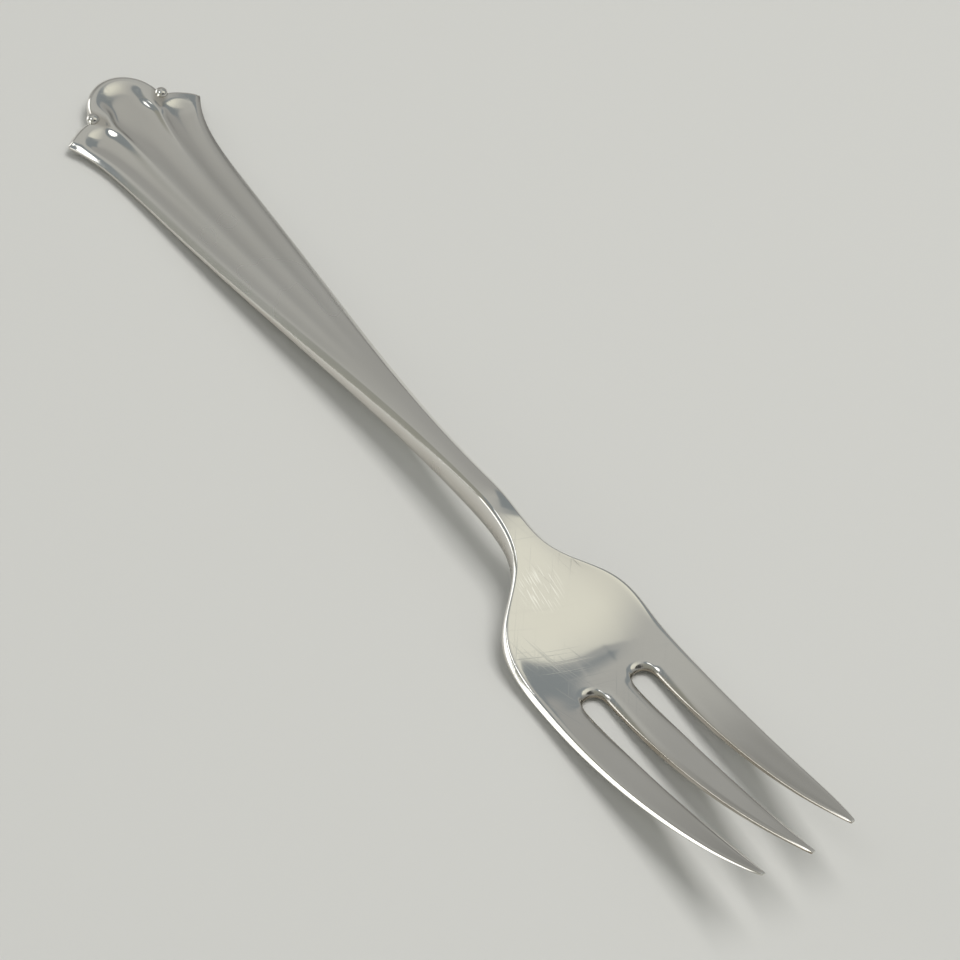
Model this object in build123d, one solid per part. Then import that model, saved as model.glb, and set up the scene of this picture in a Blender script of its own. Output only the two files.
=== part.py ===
from build123d import *
import os
from math import cos, exp, hypot, radians

# A three-tine pastry fork, struck from one bar of silver. It lies on its back: +X runs from
# the handle end to the tine tips, +Z is up and Z = 0 is the table. The origin is under the
# middle of the fork. Sizes are in millimetres.

# Lengths along the fork
handle_length = 87.2        # handle end to the neck, the narrowest place
corner_setback = 7.4        # handle end to the flared corners
rest_setback = 15.0         # handle end to the place that touches the table
flute_length = 55.0         # centre of the end lobe to where the flutes run out
shoulder_length = 25.6      # neck to the full width of the bowl
root_setback = 1.0          # full width to the ends of the slots
belly_setback = 2.8         # ends of the slots back to the place that touches the table
tine_length = 34.2          # ends of the slots to the middle tip
outer_tip_setback = 0.8     # middle tip back to the outer tips
flare_reach = 5.5           # how far the trumpet flare of the handle end carries

# Widths across the fork
end_width = 20.5            # corner to corner
grip_width = 13.5           # fluted handle, before its taper
stem_width = 2.9            # upper face at the neck
bowl_width = 19.8
slot_width = 3.3
slot_spacing = 7.4          # between the centre lines of the two slots
tip_width = 0.5
tip_spacing = 6.5           # between neighbouring tips
tip_draw = 2.6              # how far the outer edges draw in before they round to the tips

# Heights of the underside above the table
end_lift = 1.2
neck_rise = 4.2
tip_rise = 10.5

# Section: height of the side wall, crown of the top, sag of the back, swell of the side
handle_edge = 1.2
stem_edge = 3.95
bowl_edge = 1.7
tip_edge = 0.7
handle_crown = 0.55
stem_crown = 0.12
bowl_dish = 0.8
handle_belly = 0.6
stem_belly = 0.6
bowl_belly = 0.7
handle_swell = 0.12
stem_swell = 0.6
bowl_swell = 0.2
slot_swell = 0.08
edge_round = 0.5
round_limit = 0.4           # most that a rounding may take of a section's width or height, as a share
worn_flat = 0.05            # depth worn away where the fork touches the table

# Scalloped, fluted handle end
lobe_radius = 5.35          # centre scallop
scallop_bow = 0.5           # bow of the scallops beside it
corner_overrun = 0.5        # the end's outline runs on past each corner, as a share of a scallop
bead_radius = 0.9
flute_depth = 0.6
side_setback = 3.5          # lobe centre to the centres of the side flutes' round ends
scoop_start = 0.6           # width where a flute's round end starts, as a share of its full width
rim_width = 0.9
ridge_width = 0.25
ridge_flare = 0.9           # extra spread of the two ridges at the lobe
runout_margin = 1.0         # end of the flutes to the end of the handle section

# Curves: how sharply each one turns, with no unit
shoulder_turn = 3.4         # S of the shoulders
climb_ease = 0.1            # start of the long climb to the neck
tine_curl = 1.9             # upward curve of the tines
middle_taper = 2.4          # the middle tine narrows late
inner_taper = 4.0           # and so do the inner edges of the outer tines
tip_turn = 14.0             # last turn of the outer edges to the tips

# Spacing of the loft sections
section_step = 3.0
flute_step = 1.2

neck_x = handle_length
bowl_x = neck_x + shoulder_length
root_x = bowl_x + root_setback
belly_x = root_x - belly_setback
tip_x = root_x + tine_length
slot_x = root_x + slot_width / 2
lobe_x = lobe_radius
runout_x = lobe_x + flute_length
handle_end_x = runout_x + runout_margin
slot_y = slot_spacing / 2


def blend(a, b, share):
    return a + (b - a) * share


# 0 at start and 1 at end, in a straight line that goes on past the end.
def ramp(start, end, x):
    return max((x - start) / (end - start), 0.0)


# 0 before start and 1 after end, with no corner at either.
def ease(start, end, x):
    t = min(ramp(start, end, x), 1.0)
    return t * t * (3 - 2 * t)


# The same with a steep middle.
def turn(start, end, x):
    t = min(ramp(start, end, x), 1.0)
    return t ** shoulder_turn / (t ** shoulder_turn + (1 - t) ** shoulder_turn)


# Half the plan width of the bar: trumpet flare, long taper, round shoulders, parallel bowl.
def half_width(x):
    taper = blend(grip_width, stem_width, ease(rest_setback, neck_x, x))
    past_corner = max(x - corner_setback, 0.0)
    before_corner = max(corner_setback - x, 0.0)
    flare = (end_width - grip_width) * (exp(-past_corner / flare_reach) + before_corner / flare_reach)
    shoulder = (bowl_width - stem_width) * turn(neck_x, bowl_x, x)
    return (taper + flare + shoulder) / 2


# 0 at 0 and 1 at 1, along a hyperbola that starts level and soon runs straight.
def climb(t):
    return (hypot(t, climb_ease) - climb_ease) / (hypot(1, climb_ease) - climb_ease)


# Underside along the middle: touches the table under the handle end and under the bowl.
def rise(x):
    if x < rest_setback:
        return end_lift * (1 - x / rest_setback) ** 2
    if x < belly_x:
        return neck_rise * climb(ramp(rest_setback, neck_x, x)) * (1 - ease(neck_x, belly_x, x))
    return tip_rise * ramp(belly_x, tip_x, x) ** tine_curl


# A section size that changes from handle to neck to bowl to tine tips.
def along(handle, stem, bowl, tip, x):
    if x < neck_x:
        return blend(handle, stem, ramp(rest_setback, neck_x, x) ** 2)
    if x < root_x:
        return blend(stem, bowl, ease(neck_x, bowl_x, x))
    return blend(bowl, tip, ramp(root_x, tip_x, x))


def edge_height(x):
    return along(handle_edge, stem_edge, bowl_edge, tip_edge, x)


def crown(x):
    return along(handle_crown, stem_crown, -bowl_dish, -bowl_dish, x)


def belly(x):
    return along(handle_belly, stem_belly, bowl_belly, bowl_belly, x)


def swell(x):
    return along(handle_swell, stem_swell, bowl_swell, bowl_swell, x)


def top_height(x, y):
    return rise(x) + belly(x) + edge_height(x) + crown(x) * (1 - (y / half_width(x)) ** 2)


def back_height(x, y):
    return rise(x) + belly(x) * (y / half_width(x)) ** 2


# Corner points of one side of a section, from its top face round to its back. Outward is
# +1 or -1 along Y.
def side_points(x, width, edge_y, outward, bulge):
    high = top_height(x, edge_y)
    low = back_height(x, edge_y)
    soft = min(edge_round, round_limit * (high - low), round_limit * width)
    bow = soft * (1 - cos(radians(45)))
    shoulder = bulge * (1 - (1 - 2 * soft / (high - low)) ** 2)
    inset = edge_y - outward * soft
    return [
        (inset, top_height(x, inset)),
        (edge_y - outward * bow, high - bow),
        (edge_y + outward * shoulder, high - soft),
        (edge_y + outward * bulge, (high + low) / 2),
        (edge_y + outward * shoulder, low + soft),
        (edge_y - outward * bow, low + bow),
        (inset, back_height(x, inset)),
    ]


# Sides and back of a section between two plan edges: swelling sides with soft corners.
def sides_and_back(x, left, right, left_swell, right_swell):
    middle = (left + right) / 2
    width = right - left
    points = side_points(x, width, right, 1, right_swell) + [(middle, back_height(x, middle))]
    points += side_points(x, width, left, -1, left_swell)[::-1]
    return [ThreePointArc(*points[i:i + 3]) for i in range(0, len(points) - 2, 2)]


def section_face(x, outline):
    return Plane.YZ.offset(x) * Face(Wire(outline))


# Closed section between two plan edges, with a curved top.
def bar_section(x, left, right, left_swell, right_swell):
    outline = sides_and_back(x, left, right, left_swell, right_swell)
    middle = (left + right) / 2
    top = ThreePointArc(outline[-1] @ 1, (middle, top_height(x, middle)), outline[0] @ 0)
    return section_face(x, outline + [top])


# Stations at about equal steps, which keep a loft true to the curves above.
def stations(first, last, step):
    steps = round((last - first) / step)
    return [blend(first, last, i / steps) for i in range(steps + 1)]


# The plain bar, from the end of the flutes to the straight sides of the slots.
def make_bar():
    sections = []
    for x in stations(handle_end_x, slot_x, section_step):
        half = half_width(x)
        sections.append(bar_section(x, -half, half, swell(x), swell(x)))
    return loft(sections)


# The part of the bar between two places along its length.
def length_of(bar, start, end):
    block = Box(end - start, bowl_width * 2, bowl_width * 2, align=(Align.MIN, Align.CENTER, Align.CENTER))
    return bar & Pos(start, 0, 0) * block


# Plan of the handle end: a round centre lobe between two notches, and a bowed scallop from
# each notch out past its flared corner.
def end_outline():
    notch = Vector(lobe_x, lobe_radius)
    corner = Vector(corner_setback, end_width / 2)
    beyond = corner + (corner - notch) * corner_overrun
    bowed = (notch + corner) / 2 - Vector(scallop_bow, 0)
    far = Vector(handle_end_x, beyond.Y)
    mirrored = [Vector(p.X, -p.Y) for p in (notch, bowed, corner, beyond, far)]
    outline = [
        ThreePointArc(mirrored[0], (0, 0), notch),
        ThreePointArc(notch, bowed, corner),
        Polyline(corner, beyond, far, mirrored[4], mirrored[3], mirrored[2]),
        ThreePointArc(mirrored[2], mirrored[1], mirrored[0]),
    ]
    return make_face(Curve() + outline)


# Distance of the two ridges from the middle: a third of the width inside the rims, and more
# at the lobe, where they spread towards the notches.
def ridge_y(x):
    return (half_width(x) - rim_width) / 3 + ridge_flare * exp(-ramp(lobe_x, lobe_x + flare_reach, x))


# One flute at x, as its left edge, lowest point and right edge. Full width and depth are at
# first_x. Before it, the flute ends in a round scoop; after it, the depth runs out.
def flute_points(x, first_x, left_at, right_at):
    scoop_length = (right_at(first_x) - left_at(first_x)) / 2
    scoop = max(1 - ramp(0, scoop_length, first_x - x) ** 2, 0)
    runout = max(1 - ramp(first_x, runout_x, x), 0)
    width_share = blend(scoop_start, 1, ease(first_x - scoop_length, first_x, x))
    middle = (left_at(x) + right_at(x)) / 2
    half = width_share * (right_at(x) - left_at(x)) / 2
    left = (middle - half, top_height(x, middle - half))
    low = (middle, top_height(x, middle) - flute_depth * scoop * runout)
    right = (middle + half, top_height(x, middle + half))
    return left, low, right


# Section of the handle: its top has three flutes between two rims and two narrow ridges.
def fluted_section(x):
    half = half_width(x)
    half_ridge = ridge_width / 2
    side_x = lobe_x + side_setback
    flutes = [
        flute_points(x, side_x, lambda x: rim_width - half_width(x), lambda x: -ridge_y(x) - half_ridge),
        flute_points(x, lobe_x, lambda x: half_ridge - ridge_y(x), lambda x: ridge_y(x) - half_ridge),
        flute_points(x, side_x, lambda x: ridge_y(x) + half_ridge, lambda x: half_width(x) - rim_width),
    ]
    outline = sides_and_back(x, -half, half, swell(x), swell(x))
    start = outline[0] @ 0
    for left, low, right in flutes:
        control_height = 2 * low[1] - (left[1] + right[1]) / 2
        outline.append(Line(outline[-1] @ 1, left))
        outline.append(Bezier(left, (low[0], control_height), right))
    outline.append(Line(outline[-1] @ 1, start))
    return section_face(x, outline)


# Fluted handle, trimmed to the scalloped outline, with a bead in each notch of its end.
def make_handle():
    sections = [fluted_section(x) for x in stations(-rim_width, handle_end_x, flute_step)]
    handle = loft(sections) & extrude(end_outline(), amount=bowl_width, both=True)
    bead = Pos(lobe_x, lobe_radius, top_height(lobe_x, lobe_radius)) * Sphere(bead_radius)
    return handle + bead + mirror(bead, Plane.XZ)


# Bowl: the dished end of the bar, notched by the round ends of the two slots.
def make_bowl(bar):
    bowl = length_of(bar, neck_x, slot_x)
    for y in (-slot_y, slot_y):
        bowl -= Pos(slot_x, y, 0) * Cylinder(slot_width / 2, bowl_width * 2)
    rims = [edge for edge in bowl.edges().filter_by(GeomType.LINE, reverse=True) if is_slot_rim(edge)]
    return fillet(rims, edge_round)


# True for the upper and lower edges of a slot's round end.
def is_slot_rim(edge):
    middle = edge.position_at(0.5)
    from_centre = hypot(middle.X - slot_x, abs(middle.Y) - slot_y)
    return abs(from_centre - slot_width / 2) < edge_round / 10


# One tine: a bar between two plan edges, given as functions of x, that narrows to its tip.
def make_tine(end_x, left_at, right_at, left_swell, right_swell):
    sections = []
    for x in stations(slot_x, end_x, section_step):
        sections.append(bar_section(x, left_at(x), right_at(x), left_swell, right_swell))
    return loft(sections)


def middle_tine():
    root_half = slot_y - slot_width / 2

    def half(x):
        return blend(root_half, tip_width / 2, ramp(slot_x, tip_x, x) ** middle_taper)

    return make_tine(tip_x, lambda x: -half(x), half, slot_swell, slot_swell)


# The left tine, on the +Y side: its inner edge opens late towards the tip, and its outer
# edge draws in and rounds over to the tip.
def left_tine():
    root_inner = slot_y + slot_width / 2
    end_x = tip_x - outer_tip_setback

    def inner(x):
        return blend(root_inner, tip_spacing - tip_width / 2, ramp(slot_x, end_x, x) ** inner_taper)

    def outer(x):
        share = ramp(slot_x, end_x, x)
        drawn_in = tip_draw * share ** 2
        rounded = (bowl_width / 2 - tip_draw - tip_spacing - tip_width / 2) * share ** tip_turn
        return bowl_width / 2 - drawn_in - rounded

    return make_tine(end_x, inner, outer, slot_swell, bowl_swell)


os.makedirs("parts", exist_ok=True)
bar = make_bar()
handle = make_handle()
bowl = make_bowl(bar)
stem = length_of(bar, handle_end_x, neck_x)
middle = middle_tine()
left = left_tine()
right = mirror(left, Plane.XZ)
table_top = (Align.CENTER, Align.CENTER, Align.MAX)
table = Pos(0, 0, worn_flat) * Box(tip_x * 2, bowl_width * 2, bowl_width, align=table_top)
pieces = {
    "handle": handle - table,
    "stem": stem,
    "bowl": bowl - table,
    "tine_left": left,
    "tine_middle": middle,
    "tine_right": right,
}
for name, solid in pieces.items():
    placed = Pos(-tip_x / 2, 0, -worn_flat) * solid
    export_step(placed, f"parts/{name}.step")
    print(name, round(placed.volume, 1), placed.bounding_box())
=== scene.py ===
import bpy
from math import cos, exp, hypot, pi, radians, sin, sqrt
from mathutils import Matrix, Quaternion, Vector


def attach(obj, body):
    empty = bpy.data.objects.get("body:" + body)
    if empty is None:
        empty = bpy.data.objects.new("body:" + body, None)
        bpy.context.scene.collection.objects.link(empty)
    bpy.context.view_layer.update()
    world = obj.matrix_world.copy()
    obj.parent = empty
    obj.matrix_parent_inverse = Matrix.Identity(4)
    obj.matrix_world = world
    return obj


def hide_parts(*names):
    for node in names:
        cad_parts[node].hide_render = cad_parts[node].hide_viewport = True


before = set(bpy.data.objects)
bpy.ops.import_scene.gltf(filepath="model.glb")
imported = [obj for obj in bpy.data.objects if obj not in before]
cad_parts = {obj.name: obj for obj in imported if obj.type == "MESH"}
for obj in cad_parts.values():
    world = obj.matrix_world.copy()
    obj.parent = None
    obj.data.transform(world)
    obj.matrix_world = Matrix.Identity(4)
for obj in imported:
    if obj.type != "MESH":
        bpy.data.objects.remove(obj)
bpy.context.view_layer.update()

mm = 0.001

# sizes of the fork in millimetres, as in the solid model, whose edges are rounded a little
# differently; x runs from the handle end
fork = {
    "handleLength": 87.2,      # handle end to the neck
    "cornerSetback": 7.4,
    "restSetback": 15.0,
    "fluteLength": 55.0,
    "shoulderLength": 25.6,
    "rootSetback": 1.0,
    "bellySetback": 2.8,
    "tineLength": 34.2,
    "outerTipSetback": 0.8,
    "flareReach": 5.5,
    "endWidth": 20.5,
    "gripWidth": 13.5,
    "stemWidth": 2.9,
    "bowlWidth": 19.8,
    "slotWidth": 3.3,
    "slotSpacing": 7.4,
    "tipWidth": 0.5,
    "tipSpacing": 6.5,
    "tipDraw": 2.6,
    "endLift": 1.2,
    "neckRise": 4.2,
    "tipRise": 10.5,
    "edge": (1.2, 3.95, 1.7, 0.7),        # side wall on handle, stem, bowl and tips
    "crown": (0.55, 0.12, -0.8, -0.8),    # top is crowned on the handle and dished in the bowl
    "crownTurn": (2.0, 2.0, 3.0, 3.0),
    "belly": (0.6, 0.6, 0.7, 0.7),
    "swell": (0.12, 0.35, 0.15, 0.1),
    "rim": (0.9, 0.32, 0.42, 0.15),       # bevelled strip inside the outer edge
    "slotSwell": 0.08,
    "wornFlat": 0.05,
    "lobeRadius": 5.35,
    "scallopBow": 0.5,
    "beadRadius": 0.9,
    "fluteDepth": 0.6,
    "ridgeFlare": 0.8,
    "ridgeReach": 12.0,
    "shoulderTurn": 3.4,
    "climbEase": 0.1,
    "tineCurl": 1.9,
    "middleTaper": 2.4,
    "innerTaper": 4.0,
    "tipTurn": 14.0,
}
neckX = fork["handleLength"]
bowlX = neckX + fork["shoulderLength"]
rootX = bowlX + fork["rootSetback"]
bellyX = rootX - fork["bellySetback"]
tipX = rootX + fork["tineLength"]
outerTipX = tipX - fork["outerTipSetback"]
slotX = rootX + fork["slotWidth"] / 2
slotY = fork["slotSpacing"] / 2
runoutX = fork["lobeRadius"] + fork["fluteLength"]


def blend(a, b, share):
    return a + (b - a) * share


def ramp(start, end, x):
    return max((x - start) / (end - start), 0.0)


def ease(start, end, x):
    t = min(ramp(start, end, x), 1.0)
    return t * t * (3 - 2 * t)


def shoulderCurve(x):
    t = min(ramp(neckX, bowlX, x), 1.0)
    p = fork["shoulderTurn"]
    return t ** p / (t ** p + (1 - t) ** p)


# half the plan width: trumpet flare, long taper, round shoulders, parallel bowl
def halfWidth(x):
    taper = blend(fork["gripWidth"], fork["stemWidth"], ease(fork["restSetback"], neckX, x))
    past = max(x - fork["cornerSetback"], 0.0) / fork["flareReach"]
    before = max(fork["cornerSetback"] - x, 0.0) / fork["flareReach"]
    flare = (fork["endWidth"] - fork["gripWidth"]) * (exp(-past) + before)
    shoulder = (fork["bowlWidth"] - fork["stemWidth"]) * shoulderCurve(x)
    return (taper + flare + shoulder) / 2


# underside along the middle
def riseAt(x):
    rest = fork["restSetback"]
    if x < rest:
        return fork["endLift"] * (1 - x / rest) ** 2
    if x < bellyX:
        k = fork["climbEase"]
        climb = (hypot(ramp(rest, neckX, x), k) - k) / (hypot(1, k) - k)
        return fork["neckRise"] * climb * (1 - ease(neckX, bellyX, x))
    return fork["tipRise"] * ramp(bellyX, tipX, x) ** fork["tineCurl"]


# a section size that changes from handle to neck to bowl to tips
def along(sizes, x):
    handle, stem, bowl, tip = sizes
    if x < neckX:
        return blend(handle, stem, ramp(fork["restSetback"], neckX, x) ** 2)
    if x < rootX:
        return blend(stem, bowl, ease(neckX, bowlX, x))
    return blend(bowl, tip, ramp(rootX, tipX, x))


def topHeight(x, y):
    crown = along(fork["crown"], x) * (1 - abs(y / halfWidth(x)) ** along(fork["crownTurn"], x))
    return riseAt(x) + along(fork["belly"], x) + along(fork["edge"], x) + crown


def backHeight(x, y):
    return riseAt(x) + along(fork["belly"], x) * (y / halfWidth(x)) ** 2


# the two ridges stand a third of the way across, and a little wider near the lobe
def ridgeY(x):
    flare = fork["ridgeFlare"] * exp(-max(x - fork["lobeRadius"], 0.0) / fork["ridgeReach"])
    return (halfWidth(x) - along(fork["rim"], x)) / 3 + flare


# The cage is a lattice: rows run across the fork, columns run along it, and five layers go
# from the back (0) to the top (4). Column numbers count from the middle line.
cage = {
    "lastColumn": 13,
    "topLayer": 4,
    "ridge": 6,                # column of a ridge, which is also the middle of a slot
    "slotInner": 3,
    "slotOuter": 9,
    "lobeAngles": (0, 18, 36, 52, 66, 79, 90),              # columns 0 to 6 on the centre lobe
    "scallopShares": (0.07, 0.22, 0.42, 0.62, 0.8, 0.93, 1),  # columns 7 to 13 on a scallop
    "fluteShares": (0, 0.25, 0.5, 0.7, 0.83, 0.93, 1),      # columns 0 to 6 in the middle flute
    "sideShares": (0.08, 0.22, 0.42, 0.62, 0.82, 1),        # columns 7 to 12 in a side flute
    "middleShares": (0, 0.35, 0.68, 1),                     # columns 0 to 3 on the middle tine
    "outerShares": (0, 0.15, 0.5, 0.85, 1),                 # columns 9 to 13 on an outer tine
    "headRows": (
        0, 0.5, 1.0, 1.5, 2.0, 2.5, 3.0, 3.6, 4.2, 4.8, 5.4, 6.0, 6.8, 7.8, 9.2, 11.2, 13.6,
    ),
    "headLength": 16.0,        # rows are straight from here on
    "headBlend": 3.6,
    "rimRow": 1.3,             # rim round the handle end
    "scoopRow": 4.2,           # flutes have their full depth from here on
    "scoopTurn": 3,
    "cornerShares": (0.45, 0.85),  # but later beside the ridges, between these shares
    "cornerStart": (7.0, 8.4),     # in the middle flute and in the side flutes
    "cornerEnd": (8.2, 9.6),
    "noseRow": 3.6,            # ridges rise to their noses here
    "noseDip": 0.55,           # dip between bead and nose, as a share of the flute's depth
    "headSteep": (7.5, 5.0),   # both have steep walls at the head, and are waves from softX on
    "headCrest": 0.9,          # share of the way to a ridge's middle where its flat crest starts
    "softX": 19.0,
    "handleStep": 3.0,
    "shoulderStep": 1.5,
    "rootStart": 109.5,        # rows bend round the slot ends from here on
    "rootRows": (111.2, 112.6, 113.8, 114.65),
    "tineStep": 2.4,
    "tipRows": (1.4, 0.5, 0),  # back from the tips
    "sideDrop": (0.35, 0.21, 0.6, 0.1),  # how far edges round over: handle, stem, bowl and tips
    "endDrop": 0.42,
    "slotDrop": (0.47, 0.14),  # at the slot ends and along the tines
    "slotReach": 10.0,
    "dropLimit": 0.36,         # most of a wall's height that one rounded edge takes
    "wallSoft": (0.05, 0.12, 0.3, 0.2),
    "slotSoft": (0.3, 0.06),
    "rimCrease": 0.32,
    "endSwell": 0.12,
    "tipSwell": 0.1,
    "rounding": 2,             # levels of subdivision
}


def spread(first, last, step):
    count = round((last - first) / step)
    return [blend(first, last, i / count) for i in range(count)]


rows = list(cage["headRows"])
rows += spread(cage["headLength"], neckX, cage["handleStep"])
neckRow = len(rows)
rows += spread(neckX, cage["rootStart"], cage["shoulderStep"])
rows += [cage["rootStart"]] + list(cage["rootRows"])
slotRow = len(rows)
rows += spread(slotX, tipX - 2 * cage["tipRows"][0], cage["tineStep"])
rows += [tipX - back for back in cage["tipRows"]]
lastRow = len(rows) - 1


# where a column starts on the scalloped outline of the handle end
def endPoint(k):
    radius = fork["lobeRadius"]
    if k <= cage["ridge"]:
        angle = radians(cage["lobeAngles"][k])
        return radius * (1 - cos(angle)), radius * sin(angle)
    share = cage["scallopShares"][k - cage["ridge"] - 1]
    bow = fork["scallopBow"] * 4 * share * (1 - share)
    return blend(radius, fork["cornerSetback"], share) - bow, blend(radius, fork["endWidth"] / 2, share)


def middleHalf(x):
    rootHalf = slotY - fork["slotWidth"] / 2
    return blend(rootHalf, fork["tipWidth"] / 2, ramp(slotX, tipX, x) ** fork["middleTaper"])


def outerInner(x):
    rootInner = slotY + fork["slotWidth"] / 2
    tipInner = fork["tipSpacing"] - fork["tipWidth"] / 2
    return blend(rootInner, tipInner, ramp(slotX, outerTipX, x) ** fork["innerTaper"])


def outerOuter(x):
    share = ramp(slotX, outerTipX, x)
    rest = fork["bowlWidth"] / 2 - fork["tipDraw"] - fork["tipSpacing"] - fork["tipWidth"] / 2
    return fork["bowlWidth"] / 2 - fork["tipDraw"] * share ** 2 - rest * share ** fork["tipTurn"]


# distance of a column from the middle line, on the tines and at the slot ends
def tineY(x, k):
    if k <= cage["slotInner"]:
        return middleHalf(x) * cage["middleShares"][k]
    if k >= cage["slotOuter"]:
        inner, outer = outerInner(x), outerOuter(x)
        if k == cage["lastColumn"] - 1:
            return outer - along(fork["rim"], x)
        return blend(inner, outer, cage["outerShares"][k - cage["slotOuter"]])
    turn = pi * (k - cage["slotInner"]) / (cage["slotOuter"] - cage["slotInner"])
    return slotY - cos(turn) * fork["slotWidth"] / 2


# the same as a share of the half width, on the handle
def handleShare(x, k):
    half = halfWidth(x)
    if k <= cage["ridge"]:
        return cage["fluteShares"][k] * ridgeY(x) / half
    if k == cage["lastColumn"]:
        return 1.0
    inside = half - along(fork["rim"], x)
    return blend(ridgeY(x), inside, cage["sideShares"][k - cage["ridge"] - 1]) / half


def bowlShare(x, k):
    if k == cage["lastColumn"] - 1:
        return 1 - along(fork["rim"], x) / halfWidth(x)
    return tineY(slotX, k) / (fork["bowlWidth"] / 2)


# plan position of a lattice point
def planPoint(row, column):
    k = abs(column)
    side = -1 if column < 0 else 1
    x = rows[row]
    if row > slotRow:
        if k >= cage["slotOuter"]:
            x = blend(slotX, outerTipX, ramp(slotX, tipX, x))
        return Vector((x, side * tineY(x, k)))
    inSlot = cage["slotInner"] < k < cage["slotOuter"]
    if inSlot and x > cage["rootStart"]:
        offset = tineY(slotX, k) - slotY
        rim = slotX - sqrt(max((fork["slotWidth"] / 2) ** 2 - offset ** 2, 0))
        x = blend(cage["rootStart"], rim, ramp(cage["rootStart"], slotX, x))
    head = 1.0
    endShare = 0.0
    if x < cage["headLength"]:
        endX, endY = endPoint(k)
        endShare = endY / halfWidth(endX)
        head = ease(0, cage["headBlend"], x)
        x = blend(endX, cage["headLength"], x / cage["headLength"])
    share = blend(handleShare(x, k), bowlShare(x, k), ease(neckX, cage["rootStart"], x))
    if row == slotRow:
        share = tineY(slotX, k) / halfWidth(x)
    return Vector((x, side * halfWidth(x) * blend(endShare, share, head)))


# how far the top is hollowed out by a flute: from a rounded rim it scoops down to its full
# depth, dips between bead and ridge, and runs out along the handle
def fluteAt(row, column, x):
    k = abs(column)
    if x > runoutX or k == cage["lastColumn"]:
        return 0.0
    if k <= cage["ridge"]:
        share = cage["fluteShares"][k]
    else:
        share = abs(2 * cage["sideShares"][k - cage["ridge"] - 1] - 1)
    flute = 0 if k <= cage["ridge"] else 1
    corner = ease(*cage["cornerShares"], share)
    softness = ease(fork["lobeRadius"], cage["softX"], x)
    steep = 1 - min(share / cage["headCrest"], 1.0) ** cage["headSteep"][flute]
    across = blend(steep, (1 + cos(pi * share)) / 2, softness)
    if abs(k - cage["ridge"]) <= 1:
        beforeNose = 2 * ramp(cage["rimRow"], cage["noseRow"], rows[row]) - 1
        across = max(across, cage["noseDip"] * (1 - beforeNose ** 2))
    endX = endPoint(k)[0]
    start = blend(endX + cage["rimRow"], cage["cornerStart"][flute], corner)
    full = blend(endX + cage["scoopRow"], cage["cornerEnd"][flute], corner)
    scoop = 1 - (1 - min(ramp(start, full, x), 1.0)) ** cage["scoopTurn"]
    return fork["fluteDepth"] * across * scoop * (1 - ramp(fork["lobeRadius"], runoutX, x))


# the lattice point one step in from the edge, or None for a point that isn't on an edge
def innerNeighbour(row, column):
    k = abs(column)
    side = -1 if column < 0 else 1
    if k == cage["lastColumn"]:
        return min(max(row, 1), lastRow - 1), side * (k - 1)
    if row == 0:
        return 1, column
    if row == lastRow:
        return row - 1, column
    if row >= slotRow and k == cage["slotInner"]:
        return row, side * (k - 1)
    if row >= slotRow and k == cage["slotOuter"]:
        return row, side * (k + 1)
    if row == slotRow and cage["slotInner"] < k < cage["slotOuter"]:
        return row - 1, column
    return None


# how far a side wall bulges out
def wallSwell(row, column, x):
    if row == 0:
        return cage["endSwell"]
    if row == lastRow:
        return cage["tipSwell"]
    if abs(column) == cage["lastColumn"]:
        return along(fork["swell"], x)
    return fork["slotSwell"]


# how far an edge of the top or back rounds over
def edgeDrop(row, column, x, thickness):
    if row == 0:
        drop = cage["endDrop"]
    elif abs(column) == cage["lastColumn"] or row == lastRow:
        drop = along(cage["sideDrop"], x)
    else:
        drop = blend(*cage["slotDrop"], ease(slotX, slotX + cage["slotReach"], x))
    return min(drop, cage["dropLimit"] * thickness)


# how sharply it turns down into the wall
def edgeSoft(column, x):
    if x > rootX and abs(column) < cage["lastColumn"]:
        return blend(*cage["slotSoft"], ease(slotX, slotX + cage["slotReach"], x))
    return along(cage["wallSoft"], x)


def placePoint(row, column, layer):
    plan = planPoint(row, column)
    high = topHeight(plan.x, plan.y)
    low = backHeight(plan.x, plan.y)
    neighbour = innerNeighbour(row, column)
    drop = edgeDrop(row, column, plan.x, high - low) if neighbour else 0.0
    if layer == cage["topLayer"]:
        z = high - drop - fluteAt(row, column, plan.x)
    elif layer == 0:
        z = low + drop
    else:
        soft = drop + min(edgeSoft(column, plan.x), (high - low - 2 * drop) / 3)
        z = (low + soft, (low + high) / 2, high - soft)[layer - 1]
        bulge = wallSwell(row, column, plan.x)
        if layer != 2:
            bulge *= 1 - (1 - 2 * soft / (high - low)) ** 2
        outward = plan - planPoint(*neighbour)
        plan = plan + outward.normalized() * bulge
    return Vector((plan.x - tipX / 2, plan.y, z - fork["wornFlat"])) * mm


# how much brown-grey is painted on: on the side walls and in the slots it is mostly painted shade,
# standing for the shaded floor that these walls mirror, with some tarnish; in the flutes and in the
# notches beside the beads it is tarnish
tarnishAndShadeAmounts = {
    "side": (0.5, 0.5, 0.15),  # from the back to the top
    "slot": 1.0,
    "slotEdge": 0.3,
    "notch": 0.55,
    "flute": 0.15,
}


# share of painted shade and tarnish at a lattice point: mostly painted shade on the walls, tarnish in
# the flutes and notches
def tarnishAndShadeAt(row, column, layer):
    k = abs(column)
    onWall = 0 < layer < cage["topLayer"]
    if onWall and (k == cage["lastColumn"] or row == 0):
        return tarnishAndShadeAmounts["side"][layer - 1]
    if row >= slotRow and cage["slotInner"] <= k <= cage["slotOuter"]:
        return tarnishAndShadeAmounts["slot"] if onWall else tarnishAndShadeAmounts["slotEdge"]
    if abs(k - cage["ridge"]) <= 1 and rows[row] < cage["noseRow"]:
        return tarnishAndShadeAmounts["notch"]
    return fluteAt(row, column, planPoint(row, column).x) / fork["fluteDepth"] * tarnishAndShadeAmounts["flute"]


def onlyThis(piece):
    bpy.ops.object.select_all(action="DESELECT")
    piece.select_set(True)
    bpy.context.view_layer.objects.active = piece


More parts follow.
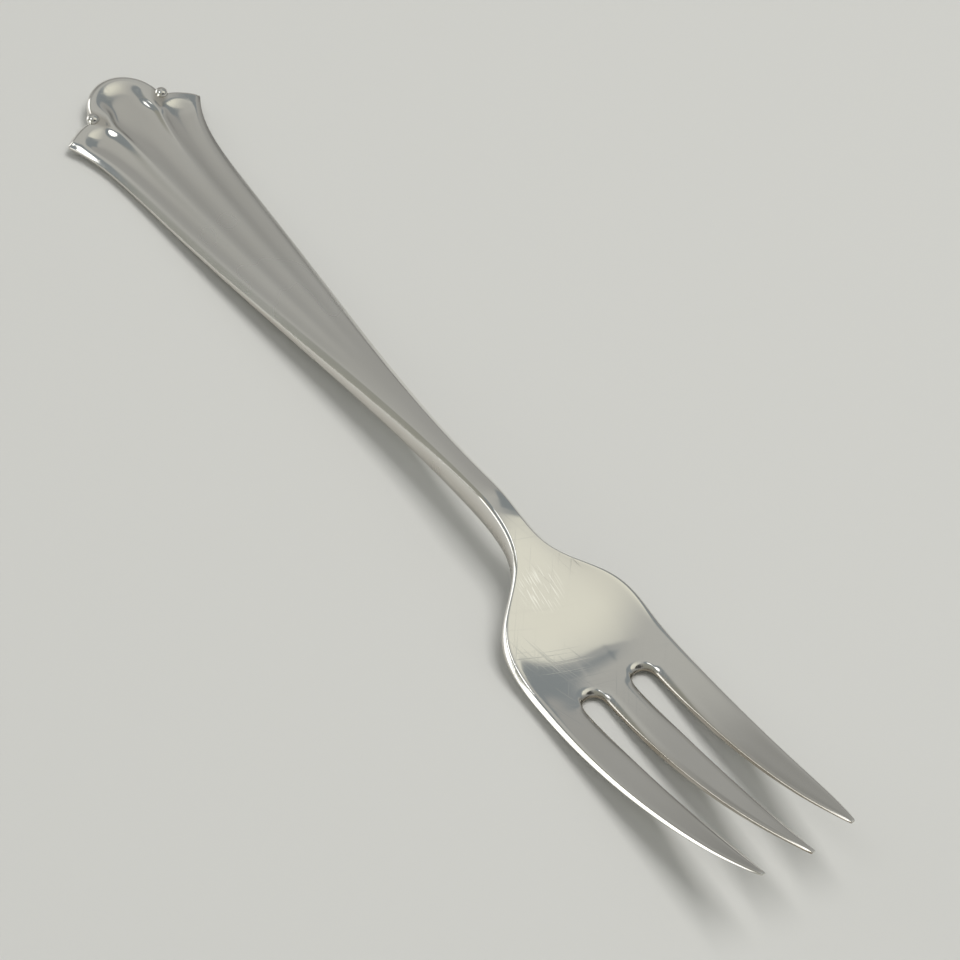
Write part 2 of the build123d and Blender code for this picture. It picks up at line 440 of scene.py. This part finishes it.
# a flat grid in lattice units, the slots cut out of it, raised layer by layer, then every
# point moved to its place on the fork and the cage rounded by subdivision
def makeFork():
    columns = 2 * cage["lastColumn"]
    bpy.ops.object.select_all(action="DESELECT")
    bpy.ops.mesh.primitive_grid_add(x_subdivisions=lastRow, y_subdivisions=columns, size=1)
    piece = bpy.context.object
    piece.name = "fork"
    bpy.ops.object.mode_set(mode="EDIT")
    bpy.ops.mesh.select_all(action="SELECT")
    bpy.ops.transform.resize(value=(lastRow, columns, 1))
    bpy.ops.transform.translate(value=(lastRow / 2, 0, 0))
    bpy.ops.mesh.select_all(action="DESELECT")
    bpy.ops.object.mode_set(mode="OBJECT")
    for face in piece.data.polygons:
        inSlot = cage["slotInner"] < abs(face.center.y) < cage["slotOuter"]
        face.select = inSlot and face.center.x > slotRow
    bpy.ops.object.mode_set(mode="EDIT")
    bpy.ops.mesh.delete(type="FACE")
    bpy.ops.mesh.select_all(action="SELECT")
    for layer in range(cage["topLayer"]):
        bpy.ops.mesh.extrude_region_move(TRANSFORM_OT_translate={"value": (0, 0, 1)})
    bpy.ops.object.mode_set(mode="OBJECT")
    # a mask of painted shade and tarnish, kept on the points
    tarnishAndShadeMask = piece.data.attributes.new("tarnishAndShadeMask", "FLOAT", "POINT")
    crease = piece.data.attributes.new("crease_edge", "FLOAT", "EDGE")
    for edge in piece.data.edges:
        ends = [piece.data.vertices[index].co for index in edge.vertices]
        onTop = all(round(end.z) == cage["topLayer"] for end in ends)
        onRim = all(abs(round(end.y)) == cage["lastColumn"] - 1 for end in ends)
        if onTop and onRim and min(end.x for end in ends) > neckRow:
            crease.data[edge.index].value = cage["rimCrease"]
    for vertex in piece.data.vertices:
        row, column, layer = (round(value) for value in vertex.co)
        tarnishAndShadeMask.data[vertex.index].value = tarnishAndShadeAt(row, column, layer)
        vertex.co = placePoint(row, column, layer)
    bpy.ops.object.mode_set(mode="EDIT")
    bpy.ops.mesh.select_all(action="SELECT")
    bpy.ops.mesh.normals_make_consistent(inside=False)
    bpy.ops.object.mode_set(mode="OBJECT")
    rounding = piece.modifiers.new("rounding", "SUBSURF")
    rounding.levels = cage["rounding"]
    rounding.render_levels = cage["rounding"]
    bpy.ops.object.modifier_apply(modifier=rounding.name)
    bpy.ops.object.shade_smooth()
    return piece


# a flattened bead that sits in the notch beside the centre lobe
bead = {"flat": 0.8, "sunk": 0.1, "segments": 40, "rings": 20}


def makeBead(side):
    notch = fork["lobeRadius"]
    height = topHeight(notch, notch) - fork["wornFlat"] - bead["sunk"]
    bpy.ops.object.select_all(action="DESELECT")
    bpy.ops.mesh.primitive_uv_sphere_add(
        segments=bead["segments"],
        ring_count=bead["rings"],
        radius=fork["beadRadius"] * mm,
        location=((notch - tipX / 2) * mm, side * notch * mm, height * mm),
    )
    piece = bpy.context.object
    piece.scale.z = bead["flat"]
    bpy.ops.object.transform_apply(location=True, rotation=True, scale=True)
    bpy.ops.object.shade_smooth()
    return piece


forkPiece = makeFork()
beadPieces = [makeBead(side) for side in (-1, 1)]
onlyThis(forkPiece)
for piece in beadPieces:
    piece.select_set(True)
bpy.ops.object.join()
print("fork modelled,", len(forkPiece.data.polygons), "faces")

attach(forkPiece, "root")
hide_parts("handle", "stem", "bowl", "tine_left", "tine_middle", "tine_right")


# a shader node with its settings; a socket's value may be another node's output
def addNode(tree, kind, inputs=None, **settings):
    node = tree.nodes.new("ShaderNode" + kind)
    for name, value in settings.items():
        setattr(node, name, value)
    for name, value in (inputs or {}).items():
        if isinstance(value, bpy.types.NodeSocket):
            tree.links.new(value, node.inputs[name])
        else:
            node.inputs[name].default_value = value
    return node


def mapRange(tree, value, start, end, low=0.0, high=1.0, kind="LINEAR"):
    inputs = {"Value": value, "From Min": start, "From Max": end, "To Min": low, "To Max": high}
    return addNode(tree, "MapRange", inputs, interpolation_type=kind).outputs["Result"]


def mathNode(tree, operation, first, second, third=0.0):
    inputs = {0: first, 1: second, 2: third}
    return addNode(tree, "Math", inputs, operation=operation).outputs["Value"]


def mixColour(tree, factor, first, second):
    return addNode(tree, "Mix", {0: factor, 6: first, 7: second}, data_type="RGBA").outputs[2]


# a group of nodes, from a function that fills it and names its outputs
def makeGroup(name, fill):
    group = bpy.data.node_groups.new(name, "ShaderNodeTree")
    outputs = fill(group)
    end = group.nodes.new("NodeGroupOutput")
    for label, socket in outputs.items():
        group.interface.new_socket(label, in_out="OUTPUT", socket_type="NodeSocketFloat")
        group.links.new(socket, end.inputs[label])
    return group


# polished silver, used for years: lengths of its wear in metres
silverLook = {
    "bright": (0.85, 0.84, 0.815, 1),
    "dull": (0.79, 0.775, 0.735, 1),
    # brown-grey of tarnish in the hollows, also painted on the side and slot walls as shade for the
    # shaded floor they mirror
    "tarnishAndShade": (0.34, 0.295, 0.23, 1),
    "cloudSize": 0.012,
    "cloudDetail": 2.0,
    "cloudRange": (0.35, 0.65),         # part of a noise that makes a mask, here and below
    "waveSize": 0.006,
    "waveDetail": 1.0,
    "waveHeight": 0.000006,
    "lineTurns": (20, -38, 75),         # directions of the hairlines
    "lineLength": 0.012,
    "lineWidth": 0.00018,
    "lineHeight": 0.000003,
    "lineRange": (0.7, 0.78),
    "patchyRange": (0.4, 0.65),
    "roughness": (0.07, 0.14),
    "lineRoughness": 0.12,
    "bare": (0.98, 0.975, 0.96, 1),     # fresh scratches show bare silver
    "patch": (100.4, -1.3),             # on the bowl, in the fork's millimetres
    "patchSize": 0.0034,
    "scratchTurn": 4,
    "scratchLength": 0.0022,
    "scratchWidth": 0.00016,
    "scratchRange": (0.6, 0.64),
    "tarnishAndShadeRange": (0.3, 0.6),
    "tarnishAndShadeShares": (0.55, 1.0),       # the painted shade and the tarnish are uneven
    "recessRoughness": 0.2,
    "gripStart": (12, 24),              # the handle is rubbed to a satin between these places
    "gripEnd": (55, 86),
    "gripRoughness": 0.14,
}


def addNoise(group, place, size, detail):
    inputs = {"Vector": place, "Scale": 1 / size, "Detail": detail}
    return addNode(group, "TexNoise", inputs).outputs["Fac"]


# noise drawn out into lines in one direction
def drawLines(group, place, turn, length, width):
    stretched = addNode(group, "Mapping", {
        "Vector": place,
        "Rotation": (0, 0, radians(turn)),
        "Scale": (length, width, length),
    }, vector_type="TEXTURE")
    return addNoise(group, stretched.outputs["Vector"], 1.0, 0.0)


# fine wiping scratches in a few directions, a patch of bright ones on the bowl, cloudy polish
# and a slight waviness
def fillWear(group):
    place = addNode(group, "TexCoord").outputs["Object"]
    cloud = addNoise(group, place, silverLook["cloudSize"], silverLook["cloudDetail"])
    waves = addNoise(group, place, silverLook["waveSize"], silverLook["waveDetail"])
    lines = 0.0
    for turn in silverLook["lineTurns"]:
        streaks = drawLines(group, place, turn, silverLook["lineLength"], silverLook["lineWidth"])
        lines = mathNode(group, "MAXIMUM", lines, mapRange(group, streaks, *silverLook["lineRange"]))
    patchy = mapRange(group, cloud, *silverLook["patchyRange"])
    patchX, patchY = silverLook["patch"]
    middle = Vector((patchX - tipX / 2, patchY, topHeight(patchX, patchY))) * mm
    away = addNode(group, "VectorMath", {0: place, 1: middle}, operation="DISTANCE")
    size = silverLook["patchSize"]
    near = mapRange(group, away.outputs["Value"], size / 2, size, 1.0, 0.0)
    turn, length, width = (silverLook["scratch" + name] for name in ("Turn", "Length", "Width"))
    streaks = drawLines(group, place, turn, length, width)
    scratches = mathNode(group, "MULTIPLY", mapRange(group, streaks, *silverLook["scratchRange"]), near)
    lengthways = addNode(group, "SeparateXYZ", {"Vector": place}).outputs["X"]
    grip = 1.0
    for ends, low, high in ((silverLook["gripStart"], 0.0, 1.0), (silverLook["gripEnd"], 1.0, 0.0)):
        start, end = ((value - tipX / 2) * mm for value in ends)
        grip = mathNode(group, "MULTIPLY", grip, mapRange(group, lengthways, start, end, low, high))
    hairlines = mathNode(group, "MULTIPLY", lines, mathNode(group, "SUBTRACT", patchy, grip))
    hairlines = mathNode(group, "MAXIMUM", hairlines, 0.0)
    return {
        "Grip": grip,
        "Hairlines": hairlines,
        "Scratches": scratches,
        "Cloud": cloud,
        "Waves": waves,
    }


def makeSilver():
    material = bpy.data.materials.new("polishedSilver")
    material.use_nodes = True
    tree = material.node_tree
    shader = tree.nodes["Principled BSDF"]
    wear = addNode(tree, "Group", node_tree=makeGroup("wear", fillWear)).outputs
    tarnishAndShadeMask = addNode(tree, "Attribute", attribute_name="tarnishAndShadeMask").outputs["Fac"]
    polish = mixColour(tree, wear["Cloud"], silverLook["dull"], silverLook["bright"])
    # tarnish in the hollows, and painted shade on the side and slot walls, darken the colour where the
    # mask is set, unevenly
    ranges = (*silverLook["tarnishAndShadeRange"], *silverLook["tarnishAndShadeShares"])
    tarnishAndShade = mathNode(tree, "MULTIPLY", tarnishAndShadeMask, mapRange(tree, wear["Cloud"], *ranges))
    worn = mixColour(tree, wear["Scratches"], polish, silverLook["bare"])
    tree.links.new(mixColour(tree, tarnishAndShade, worn, silverLook["tarnishAndShade"]), shader.inputs["Base Color"])
    cloudy = mapRange(tree, wear["Cloud"], *silverLook["cloudRange"], *silverLook["roughness"])
    scratched = mathNode(tree, "MULTIPLY_ADD", wear["Hairlines"], silverLook["lineRoughness"], cloudy)
    rubbed = mathNode(tree, "MULTIPLY_ADD", wear["Grip"], silverLook["gripRoughness"], scratched)
    rough = mathNode(tree, "MULTIPLY_ADD", tarnishAndShade, silverLook["recessRoughness"], rubbed)
    tree.links.new(rough, shader.inputs["Roughness"])
    shader.inputs["Metallic"].default_value = 1.0
    wavy = addNode(tree, "Bump", {"Height": wear["Waves"], "Distance": silverLook["waveHeight"]})
    lined = addNode(tree, "Bump", {
        "Height": wear["Hairlines"],
        "Distance": silverLook["lineHeight"],
        "Normal": wavy.outputs["Normal"],
    })
    tree.links.new(lined.outputs["Normal"], shader.inputs["Normal"])
    return material


forkPiece.data.materials.clear()
forkPiece.data.materials.append(makeSilver())
print("materials made")

# plain pale floor
floorLook = {"size": 3.0, "colour": (0.68, 0.68, 0.665, 1), "roughness": 0.8}


def makeFloor():
    bpy.ops.object.select_all(action="DESELECT")
    bpy.ops.mesh.primitive_plane_add(size=floorLook["size"], location=(0, 0, 0))
    floor = bpy.context.object
    floor.name = "floor"
    material = bpy.data.materials.new("paleFloor")
    material.use_nodes = True
    shader = material.node_tree.nodes["Principled BSDF"]
    shader.inputs["Base Color"].default_value = floorLook["colour"]
    shader.inputs["Roughness"].default_value = floorLook["roughness"]
    floor.data.materials.append(material)


makeFloor()

# soft key light overhead, and a small bright card that only shows in the silver: places and
# sizes in metres
keyLook = {
    "place": (0.04, 0.2, 0.9),
    "aim": (0, 0, 0),
    "lean": 0.0,
    "size": (0.5, 0.4),
    "power": 4.4,
    "colour": (1, 0.99, 0.97),
    "mirrored": False,
}
cardLook = {
    "place": (-0.041, -0.15, 0.0435),
    "aim": (-0.041, 0, 0.0435),
    "lean": 13.6,
    "size": (0.075, 0.11),
    "power": 0.0415,
    "colour": (1, 1, 0.99),
    "mirrored": True,
}


def makeLamp(name, look):
    data = bpy.data.lights.new(name, "AREA")
    data.shape = "RECTANGLE"
    data.size, data.size_y = look["size"]
    data.energy = look["power"]
    data.color = look["colour"]
    lamp = bpy.data.objects.new(name, data)
    lamp.location = look["place"]
    away = Vector(look["place"]) - Vector(look["aim"])
    lean = Quaternion((0, 0, 1), radians(look["lean"]))
    lamp.rotation_euler = (away.to_track_quat("Z", "Y") @ lean).to_euler()
    lamp.visible_camera = False
    lamp.visible_glossy = look["mirrored"]
    lamp.visible_diffuse = not look["mirrored"]
    bpy.context.scene.collection.objects.link(lamp)


makeLamp("key", keyLook)
makeLamp("card", cardLook)

# the studio round the fork: grey walls, a cream ceiling panel in a blue-grey frame with black
# beyond it, a window on one side, and near the camera a small lamp in a hood; an edge is given
# with its blur, and is a level of the sky or a distance over the ceiling
studio = {
    "wall": (0.37, 0.37, 0.355, 1),
    "ceiling": (0.48, 0.48, 0.455, 1),
    "dusk": (0.29, 0.29, 0.275, 1),
    "duskTurns": (157, 176),        # degrees from +X
    "duskTop": 0.66,
    "duskBlur": 0.1,
    "frame": (0.25, 0.275, 0.285, 1),
    "nearWall": (0.31, 0.31, 0.27, 1),
    "nearWallEdge": (-0.2, 0.15),
    "farWall": (0.2, 0.2, 0.19, 1),
    "farWallEdge": (0.45, 0.25),
    "farWallTop": (0.28, 0.18),
    "ceilingEdge": (0.72, 0.13),
    "frameSides": ((-1.15, 0.1), (-0.5, 0.02)),
    "frameEnd": (0.25, 0.04),
    "panelEnds": ((0.33, 0.3), (1.5, 0.2)),
    "window": (1.6, 1.6, 1.58, 1),
    "windowTurns": (190, 231),      # degrees from +X
    "windowHeights": (0.0, 0.42),
    "lamp": (2.4, 2.4, 2.35, 1),
    "lampAim": (-0.13, -0.42, 0.9),
    "lampAngle": 10.0,              # degrees from its middle to its edge
    "lampBlur": 0.004,
    "hoodAngle": 25.0,
    "hoodBlur": 0.02,
    "panelTurn": -34.0,             # degrees about +Z
    "lowest": 0.05,
    "blur": 0.03,
    "tones": (                      # distance over the ceiling as a multiple of its height, tone
        (-2.5, (0.34, 0.34, 0.325)),
        (-1.2, (0.38, 0.38, 0.365)),
        (-0.7, (0.46, 0.46, 0.44)),
        (-0.66, (0.25, 0.275, 0.285)),
        (-0.4, (0.25, 0.275, 0.285)),
        (-0.375, (0.82, 0.81, 0.71)),
        (0.0, (0.82, 0.81, 0.71)),
        (0.3, (0.72, 0.71, 0.63)),
        (0.33, (0.05, 0.05, 0.05)),
        (1.45, (0.05, 0.05, 0.05)),
        (1.55, (0.37, 0.37, 0.355)),
    ),
}


# 0 below an edge and 1 above it, or the other way round where the blur is negative
def soften(tree, value, edge, blur):
    return mapRange(tree, value, edge - blur, edge + blur, kind="SMOOTHSTEP")


def facing(tree, direction, aim):
    inputs = {0: direction, 1: aim}
    return addNode(tree, "VectorMath", inputs, operation="DOT_PRODUCT").outputs["Value"]


def opposite(tree, mask):
    return mathNode(tree, "SUBTRACT", 1.0, mask)


# 1 between two directions in plan
def between(tree, direction, turns, blur):
    start, end = (radians(turn) for turn in turns)
    past = soften(tree, facing(tree, direction, (-sin(start), cos(start), 0)), 0.0, blur)
    before = soften(tree, facing(tree, direction, (sin(end), -cos(end), 0)), 0.0, blur)
    return mathNode(tree, "MULTIPLY", past, before)


def makeStudio():
    world = bpy.data.worlds.new("studio")
    world.use_nodes = True
    tree = world.node_tree
    direction = addNode(tree, "TexCoord").outputs["Generated"]
    turned = addNode(tree, "VectorRotate", {
        "Vector": direction, "Angle": radians(-studio["panelTurn"]),
    }, rotation_type="Z_AXIS")
    level = addNode(tree, "SeparateXYZ", {"Vector": direction}).outputs
    ahead = addNode(tree, "SeparateXYZ", {"Vector": turned.outputs["Vector"]}).outputs
    height = mathNode(tree, "MAXIMUM", level["Z"], studio["lowest"])
    overX = mathNode(tree, "DIVIDE", ahead["X"], height)
    overY = mathNode(tree, "DIVIDE", ahead["Y"], height)

    ceiling = tree.nodes.new("ShaderNodeValToRGB")
    first = studio["tones"][0][0]
    span = studio["tones"][-1][0] - first
    elements = ceiling.color_ramp.elements
    while len(elements) < len(studio["tones"]):
        elements.new(1.0)
    for element, (place, tone) in zip(elements, studio["tones"]):
        element.position = (place - first) / span
        element.color = (*tone, 1)
    tree.links.new(mapRange(tree, overX, first, first + span), ceiling.inputs["Fac"])

    blur = studio["blur"]
    nearEnd, farEnd = (soften(tree, overY, *end) for end in studio["panelEnds"])
    overhead = mathNode(tree, "MULTIPLY", nearEnd, opposite(tree, farEnd))
    low = opposite(tree, soften(tree, level["Z"], *studio["farWallTop"]))
    farSide = mathNode(tree, "MULTIPLY", soften(tree, level["Y"], *studio["farWallEdge"]), low)
    nearSide = opposite(tree, soften(tree, level["Y"], *studio["nearWallEdge"]))
    above = soften(tree, level["Z"], *studio["ceilingEdge"])
    pastStart, pastEnd = (soften(tree, overX, *side) for side in studio["frameSides"])
    corner = mathNode(tree, "SUBTRACT", pastStart, pastEnd)
    corner = mathNode(tree, "MULTIPLY", corner, soften(tree, overY, *studio["frameEnd"]))
    room = mixColour(tree, farSide, studio["wall"], studio["farWall"])
    room = mixColour(tree, above, room, studio["ceiling"])
    duskBlur = studio["duskBlur"]
    dusk = between(tree, direction, studio["duskTurns"], duskBlur)
    dusk = mathNode(tree, "MULTIPLY", dusk, soften(tree, level["Z"], studio["duskTop"], -duskBlur))
    room = mixColour(tree, dusk, room, studio["dusk"])
    room = mixColour(tree, nearSide, room, studio["nearWall"])
    room = mixColour(tree, overhead, room, ceiling.outputs["Color"])
    room = mixColour(tree, corner, room, studio["frame"])

    window = between(tree, direction, studio["windowTurns"], blur)
    bottom, top = studio["windowHeights"]
    window = mathNode(tree, "MULTIPLY", window, soften(tree, level["Z"], bottom, blur))
    window = mathNode(tree, "MULTIPLY", window, soften(tree, level["Z"], top, -blur))
    room = mixColour(tree, window, room, studio["window"])
    toLamp = facing(tree, direction, Vector(studio["lampAim"]).normalized())
    hood = soften(tree, toLamp, cos(radians(studio["hoodAngle"])), studio["hoodBlur"])
    room = mixColour(tree, hood, room, studio["frame"])
    lamp = soften(tree, toLamp, cos(radians(studio["lampAngle"])), studio["lampBlur"])
    room = mixColour(tree, lamp, room, studio["lamp"])
    tree.links.new(room, tree.nodes["Background"].inputs["Color"])
    bpy.context.scene.world = world
    bpy.context.scene.view_settings.view_transform = "Standard"


makeStudio()
print("stage lit")

# camera at the photograph's angle; sizes in millimetres and degrees
view = {
    "target": (77.0, 0.0, 5.0),
    "distance": 368.4,
    "azimuth": 47.05,
    "elevation": 49.75,
    "roll": 10.04,
    "focalPixels": 3015.7,
    "centre": (-44.2, -27.5),
    "pixels": 960,
    "sensor": 36.0,
    "clipStart": 10.0,
}


def makeCamera():
    azimuth, elevation, roll = (radians(view[name]) for name in ("azimuth", "elevation", "roll"))
    back = Vector((sin(azimuth) * cos(elevation), -cos(azimuth) * cos(elevation), sin(elevation)))
    level = Vector((cos(azimuth), sin(azimuth), 0))
    steep = back.cross(level)
    right = level * cos(roll) + steep * sin(roll)
    up = steep * cos(roll) - level * sin(roll)
    target = Vector(view["target"]) - Vector((tipX / 2, 0, fork["wornFlat"]))
    data = bpy.data.cameras.new("photoView")
    data.sensor_width = view["sensor"]
    data.lens = view["focalPixels"] * view["sensor"] / view["pixels"]
    data.shift_x = -view["centre"][0] / view["pixels"]
    data.shift_y = view["centre"][1] / view["pixels"]
    data.clip_start = view["clipStart"] * mm
    camera = bpy.data.objects.new("photoView", data)
    turn = Matrix((right, up, back)).transposed().to_4x4()
    camera.matrix_world = Matrix.Translation((target + back * view["distance"]) * mm) @ turn
    bpy.context.scene.collection.objects.link(camera)
    bpy.context.scene.camera = camera


makeCamera()
print("camera set")
